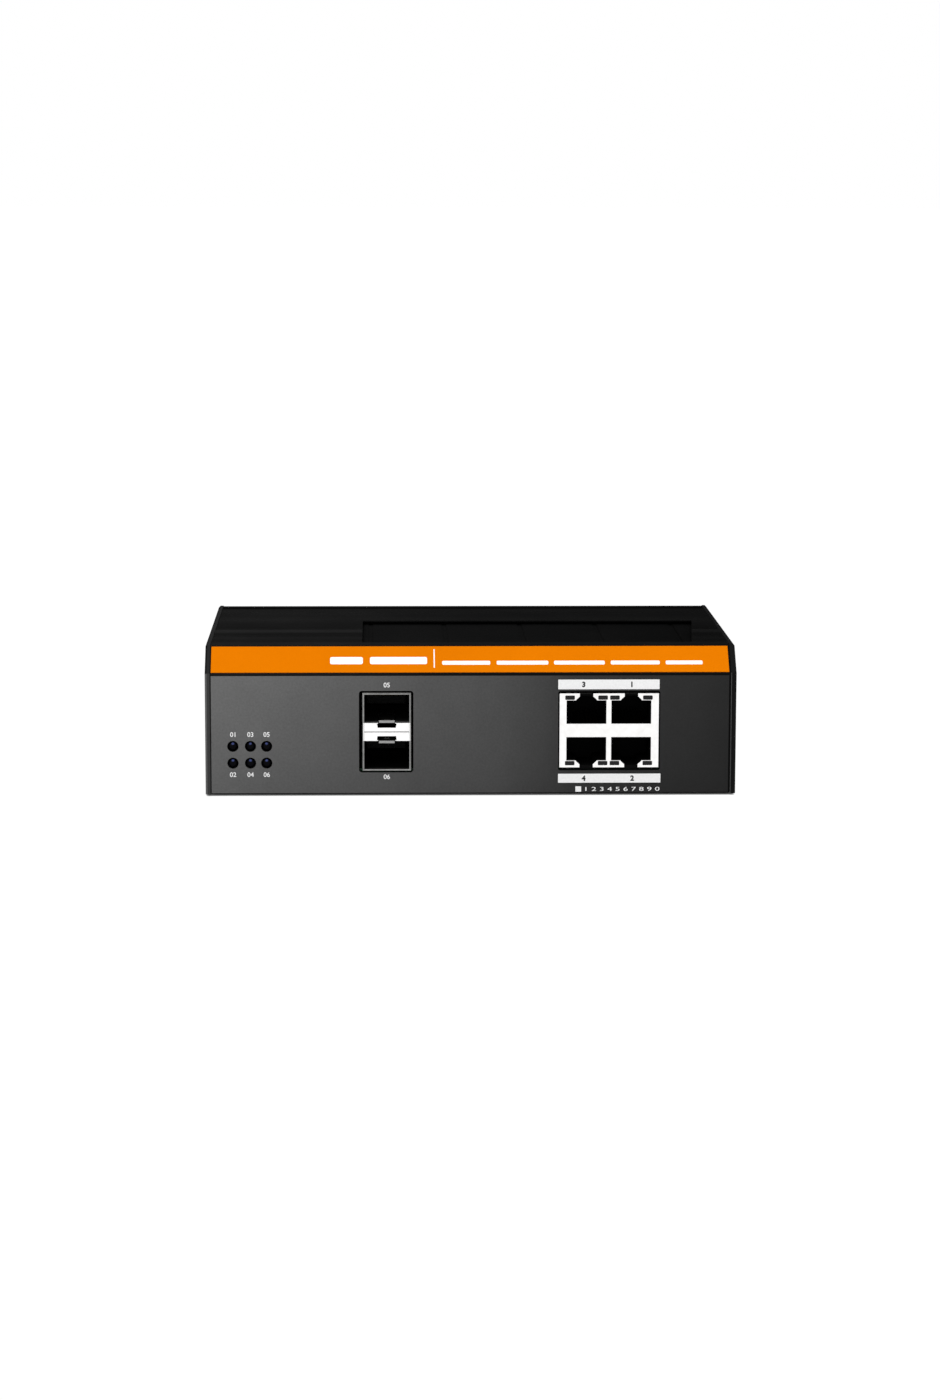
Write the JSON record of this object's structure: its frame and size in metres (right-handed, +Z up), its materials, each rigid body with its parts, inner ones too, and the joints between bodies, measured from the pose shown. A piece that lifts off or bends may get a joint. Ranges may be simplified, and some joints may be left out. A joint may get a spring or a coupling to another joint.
{
  "type": "industrial network switch",
  "caption": "Compact industrial network switch in a black extruded case with a bevelled orange band, stacked data jacks, fibre module bays, status lamps and a rail clip.",
  "frame": {"origin": "centre of the case's footprint, on the plane it rests on", "axes": "+X to the right along the case as seen from the port face, +Y from the port face to the rail clip, +Z up"},
  "size_m": [0.1743, 0.1196, 0.0465],
  "materials": {
    "black_anodised": "satin black anodised extrusion",
    "black_plate": "fine matt black powder coat",
    "grey_film": "satin printed overlay film",
    "orange_film": "satin printed overlay film",
    "black_label": "matt black label plate",
    "black_screw": "black oxide",
    "green_board": "solder mask over glass laminate",
    "brass": "turned",
    "nickel_sheet": "bright nickel plate",
    "black_plastic": "moulded",
    "clear_plastic": "clear moulded light pipe",
    "gold_contact": "gold plated",
    "spring_steel": "bright spring strip",
    "smoked_lens": "dark tinted lens",
    "green_plastic": "moulded",
    "tinned_pin": "tin plated",
    "white_plastic": "moulded",
    "zinc_steel": "zinc plated",
    "rail_black": "black coated die casting",
    "chip_black": "moulded epoxy",
    "pad_grey": "silicone gap filler",
    "bare_aluminium": "milled",
    "capacitor_can": "sleeved can",
    "ferrite": "sintered ferrite"
  },
  "bodies": {
    "case": {"band_film": "orange_film", "board_chips": "chip_black", "board_screws": "black_screw", "board_standoffs": "brass", "bottom_cover": "black_plate", "capacitors": "capacitor_can", "earth_nut": "zinc_steel", "earth_screw": "zinc_steel", "earth_washer": "zinc_steel", "end_plate_left": "black_plate", "end_plate_right": "black_plate", "end_screws_left": "black_screw", "end_screws_right": "black_screw", "front_film": "grey_film", "heat_block": "bare_aluminium", "inductors": "ferrite", "led_holder": "black_plastic", "main_pcb": "green_board", "main_shell": "black_anodised", "nameplate": "black_label", "rail_bracket": "rail_black", "rail_bracket_screws": "zinc_steel", "rail_springs": "spring_steel", "reset_switch": "black_plastic", "rj45_insulator": "black_plastic", "rj45_light_pipes": "clear_plastic", "rj45_shield": "nickel_sheet", "sfp_cage": "nickel_sheet", "sfp_collar": "spring_steel", "sfp_connectors": "black_plastic", "sfp_contacts": "gold_contact", "sfp_divider": "nickel_sheet", "status_leds": "smoked_lens", "switch_chip": "chip_black", "terminal_header": "green_plastic", "terminal_pins": "tinned_pin", "thermal_pad": "pad_grey", "transformer": "ferrite"},
    "sfp_latch_upper": {"sfp_latch_upper": "spring_steel"},
    "sfp_latch_lower": {"sfp_latch_lower": "spring_steel"},
    "rj45_springs_1": {"rj45_springs_1": "gold_contact"},
    "rj45_springs_2": {"rj45_springs_2": "gold_contact"},
    "rj45_springs_3": {"rj45_springs_3": "gold_contact"},
    "rj45_springs_4": {"rj45_springs_4": "gold_contact"},
    "reset_plunger": {"reset_plunger": "white_plastic"},
    "rail_latch": {"rail_latch": "zinc_steel"},
    "terminal_plug": {"terminal_plug": "green_plastic", "plug_contacts": "tinned_pin"},
    "clamp_screw_1": {"clamp_screw_1": "zinc_steel"},
    "clamp_cage_1": {"clamp_cage_1": "tinned_pin"},
    "clamp_screw_2": {"clamp_screw_2": "zinc_steel"},
    "clamp_cage_2": {"clamp_cage_2": "tinned_pin"},
    "clamp_screw_3": {"clamp_screw_3": "zinc_steel"},
    "clamp_cage_3": {"clamp_cage_3": "tinned_pin"},
    "clamp_screw_4": {"clamp_screw_4": "zinc_steel"},
    "clamp_cage_4": {"clamp_cage_4": "tinned_pin"},
    "clamp_screw_5": {"clamp_screw_5": "zinc_steel"},
    "clamp_cage_5": {"clamp_cage_5": "tinned_pin"},
    "clamp_screw_6": {"clamp_screw_6": "zinc_steel"},
    "clamp_cage_6": {"clamp_cage_6": "tinned_pin"}
  },
  "joints": [
    {"name": "sfp_latch_upper_flex", "type": "hinge", "parent": "case", "child": "sfp_latch_upper", "pos_m": [-0.02628, -0.038, 0.02268], "axis": [1, 0, 0], "range_deg": [0, 3.5], "stiffness_Nm_per_rad": 0.02},
    {"name": "sfp_latch_lower_flex", "type": "hinge", "parent": "case", "child": "sfp_latch_lower", "pos_m": [-0.02628, -0.038, 0.01677], "axis": [-1, 0, 0], "range_deg": [0, 3.5], "stiffness_Nm_per_rad": 0.02},
    {"name": "rj45_springs_1_flex", "type": "hinge", "parent": "case", "child": "rj45_springs_1", "pos_m": [0.05002, -0.0516, 0.0217], "axis": [-1, 0, 0], "range_deg": [0, 12], "stiffness_Nm_per_rad": 0.01},
    {"name": "rj45_springs_2_flex", "type": "hinge", "parent": "case", "child": "rj45_springs_2", "pos_m": [0.05002, -0.0516, 0.0182], "axis": [1, 0, 0], "range_deg": [0, 12], "stiffness_Nm_per_rad": 0.01},
    {"name": "rj45_springs_3_flex", "type": "hinge", "parent": "case", "child": "rj45_springs_3", "pos_m": [0.03602, -0.0516, 0.0217], "axis": [-1, 0, 0], "range_deg": [0, 12], "stiffness_Nm_per_rad": 0.01},
    {"name": "rj45_springs_4_flex", "type": "hinge", "parent": "case", "child": "rj45_springs_4", "pos_m": [0.03602, -0.0516, 0.0182], "axis": [1, 0, 0], "range_deg": [0, 12], "stiffness_Nm_per_rad": 0.01},
    {"name": "reset_press", "type": "slide", "parent": "case", "child": "reset_plunger", "axis": [1, 0, 0], "range_m": [0, 0.0004], "stiffness_N_per_m": 3000},
    {"name": "rail_latch_slide", "type": "slide", "parent": "case", "child": "rail_latch", "axis": [1, 0, 0], "range_m": [0, 0.0042], "stiffness_N_per_m": 2500, "springref_m": -0.0005, "deforming": ["rail_springs"]},
    {"name": "terminal_plug_pull", "type": "slide", "parent": "case", "child": "terminal_plug", "axis": [1, 0, 0], "range_m": [0, 0.012]},
    {"name": "clamp_screw_1_turn", "type": "hinge", "parent": "terminal_plug", "child": "clamp_screw_1", "pos_m": [0.0859, 0.0193, 0.0205], "axis": [0, 0, -1], "range_deg": [0, 1440]},
    {"name": "clamp_cage_1_lift", "type": "slide", "parent": "terminal_plug", "child": "clamp_cage_1", "axis": [0, 0, 1], "range_m": [0, 0.002]},
    {"name": "clamp_screw_2_turn", "type": "hinge", "parent": "terminal_plug", "child": "clamp_screw_2", "pos_m": [0.0859, 0.02438, 0.0205], "axis": [0, 0, -1], "range_deg": [0, 1440]},
    {"name": "clamp_cage_2_lift", "type": "slide", "parent": "terminal_plug", "child": "clamp_cage_2", "axis": [0, 0, 1], "range_m": [0, 0.002]},
    {"name": "clamp_screw_3_turn", "type": "hinge", "parent": "terminal_plug", "child": "clamp_screw_3", "pos_m": [0.0859, 0.02946, 0.0205], "axis": [0, 0, -1], "range_deg": [0, 1440]},
    {"name": "clamp_cage_3_lift", "type": "slide", "parent": "terminal_plug", "child": "clamp_cage_3", "axis": [0, 0, 1], "range_m": [0, 0.002]},
    {"name": "clamp_screw_4_turn", "type": "hinge", "parent": "terminal_plug", "child": "clamp_screw_4", "pos_m": [0.0859, 0.03454, 0.0205], "axis": [0, 0, -1], "range_deg": [0, 1440]},
    {"name": "clamp_cage_4_lift", "type": "slide", "parent": "terminal_plug", "child": "clamp_cage_4", "axis": [0, 0, 1], "range_m": [0, 0.002]},
    {"name": "clamp_screw_5_turn", "type": "hinge", "parent": "terminal_plug", "child": "clamp_screw_5", "pos_m": [0.0859, 0.03962, 0.0205], "axis": [0, 0, -1], "range_deg": [0, 1440]},
    {"name": "clamp_cage_5_lift", "type": "slide", "parent": "terminal_plug", "child": "clamp_cage_5", "axis": [0, 0, 1], "range_m": [0, 0.002]},
    {"name": "clamp_screw_6_turn", "type": "hinge", "parent": "terminal_plug", "child": "clamp_screw_6", "pos_m": [0.0859, 0.0447, 0.0205], "axis": [0, 0, -1], "range_deg": [0, 1440]},
    {"name": "clamp_cage_6_lift", "type": "slide", "parent": "terminal_plug", "child": "clamp_cage_6", "axis": [0, 0, 1], "range_m": [0, 0.002]}
  ],
  "couplings": [
    {"joint": "clamp_screw_1_turn", "follows": "clamp_cage_1_lift", "rad_per_m": 12566},
    {"joint": "clamp_screw_2_turn", "follows": "clamp_cage_2_lift", "rad_per_m": 12566},
    {"joint": "clamp_screw_3_turn", "follows": "clamp_cage_3_lift", "rad_per_m": 12566},
    {"joint": "clamp_screw_4_turn", "follows": "clamp_cage_4_lift", "rad_per_m": 12566},
    {"joint": "clamp_screw_5_turn", "follows": "clamp_cage_5_lift", "rad_per_m": 12566},
    {"joint": "clamp_screw_6_turn", "follows": "clamp_cage_6_lift", "rad_per_m": 12566}
  ]
}
